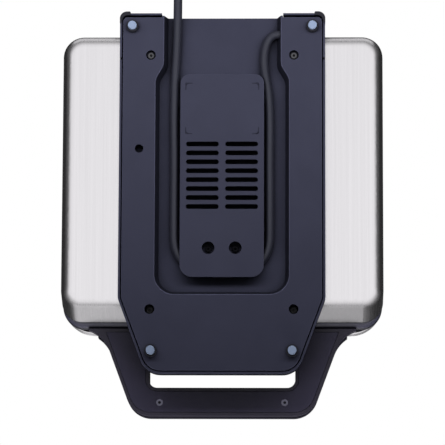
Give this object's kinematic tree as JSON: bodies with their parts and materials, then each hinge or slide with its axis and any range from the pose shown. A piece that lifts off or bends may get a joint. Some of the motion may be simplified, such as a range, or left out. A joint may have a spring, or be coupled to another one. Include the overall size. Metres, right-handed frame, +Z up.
{
  "type": "snack maker",
  "caption": "Countertop snack maker, closed: hinged stainless lid over pocketed cooking plates, looped handles, a dark underside with a cord-wrap channel, and a coiled cord with plug.",
  "frame": {"origin": "on the surface that the feet stand on, under the middle of the body and handle, without the cord", "axes": "+Z up, +Y towards the hinge side, -Y towards the handle, +X to the right of the user, who stands at the handle and faces the hinge"},
  "size_m": [0.2596, 0.45, 0.1044],
  "materials": {
    "pod_plastic": "fine matt grain",
    "wrap_plastic": "fine matt grain",
    "black_plastic": "satin",
    "handle_plastic": "satin",
    "cap_plastic": "gloss",
    "foot_black": "matt",
    "foot_rubber": "matt",
    "stainless": "brushed from front to rear",
    "bracket_steel": "galvanised",
    "hinge_steel": "turned",
    "screw_steel": "zinc plated",
    "screw_black": "blackened",
    "screw_dark": "dark oxide",
    "coated_plate": "non-stick coating",
    "heater_sheath": "heat tinted",
    "reflector_steel": "bright sheet",
    "thermostat_metal": "bright",
    "fuse_glass_cloth": "woven sleeve",
    "terminal_plastic": "moulded",
    "wire_sleeve": "woven sleeve",
    "cord_rubber": "smooth",
    "plug_plastic": "moulded",
    "pin_brass": "nickel plated",
    "red_lens": "clear",
    "green_lens": "clear",
    "lamp_glass": "clear"
  },
  "bodies": {
    "base": {"pod_frame": "pod_plastic", "bottom_cover": "pod_plastic", "cord_wrap_plate": "wrap_plastic", "wrap_plate_screws": "screw_black", "cover_screws": "screw_dark", "foot_cups": "foot_black", "foot_pads": "foot_rubber", "corner_bumpers": "foot_black", "rear_housing": "black_plastic", "hinge_pins": "hinge_steel", "base_shell": "stainless", "base_brackets": "bracket_steel", "base_screws": "screw_steel", "base_rim": "black_plastic", "lower_handle": "black_plastic", "handle_underside_cover": "handle_plastic", "handle_screws": "screw_black", "lower_plate": "coated_plate", "lower_plate_screws": "screw_steel", "lower_heater": "heater_sheath", "lower_reflector": "reflector_steel", "thermostat": "thermostat_metal", "thermal_fuse": "fuse_glass_cloth", "terminal_block": "terminal_plastic", "lower_wiring": "wire_sleeve", "cord_bushing": "cord_rubber", "cord_tail": "cord_rubber", "cord_clip": "terminal_plastic", "cord_clip_screw": "screw_steel", "cord_run": "cord_rubber", "cord_coil": "cord_rubber", "plug_body": "plug_plastic", "plug_pins": "pin_brass"},
    "lid": {"lid_shell": "stainless", "lid_rim": "black_plastic", "lid_hinge_arms": "black_plastic", "upper_handle": "black_plastic", "upper_handle_cap": "cap_plastic", "upper_handle_screws": "screw_black", "upper_plate": "coated_plate", "upper_plate_screws": "screw_steel", "upper_heater": "heater_sheath", "upper_reflector": "reflector_steel", "upper_wiring": "wire_sleeve", "power_lens": "red_lens", "ready_lens": "green_lens", "indicator_lamps": "lamp_glass", "latch_pin": "hinge_steel"},
    "latch": {"latch_clip": "black_plastic"}
  },
  "joints": [
    {"name": "lid_hinge", "type": "hinge", "parent": "base", "child": "lid", "pos_m": [0, 0.1525, 0.0555], "axis": [-1, 0, 0], "range_deg": [0, 100]},
    {"name": "latch_pivot", "type": "hinge", "parent": "lid", "child": "latch", "pos_m": [0, -0.1165, 0.063], "axis": [1, 0, 0], "range_deg": [0, 15]}
  ]
}
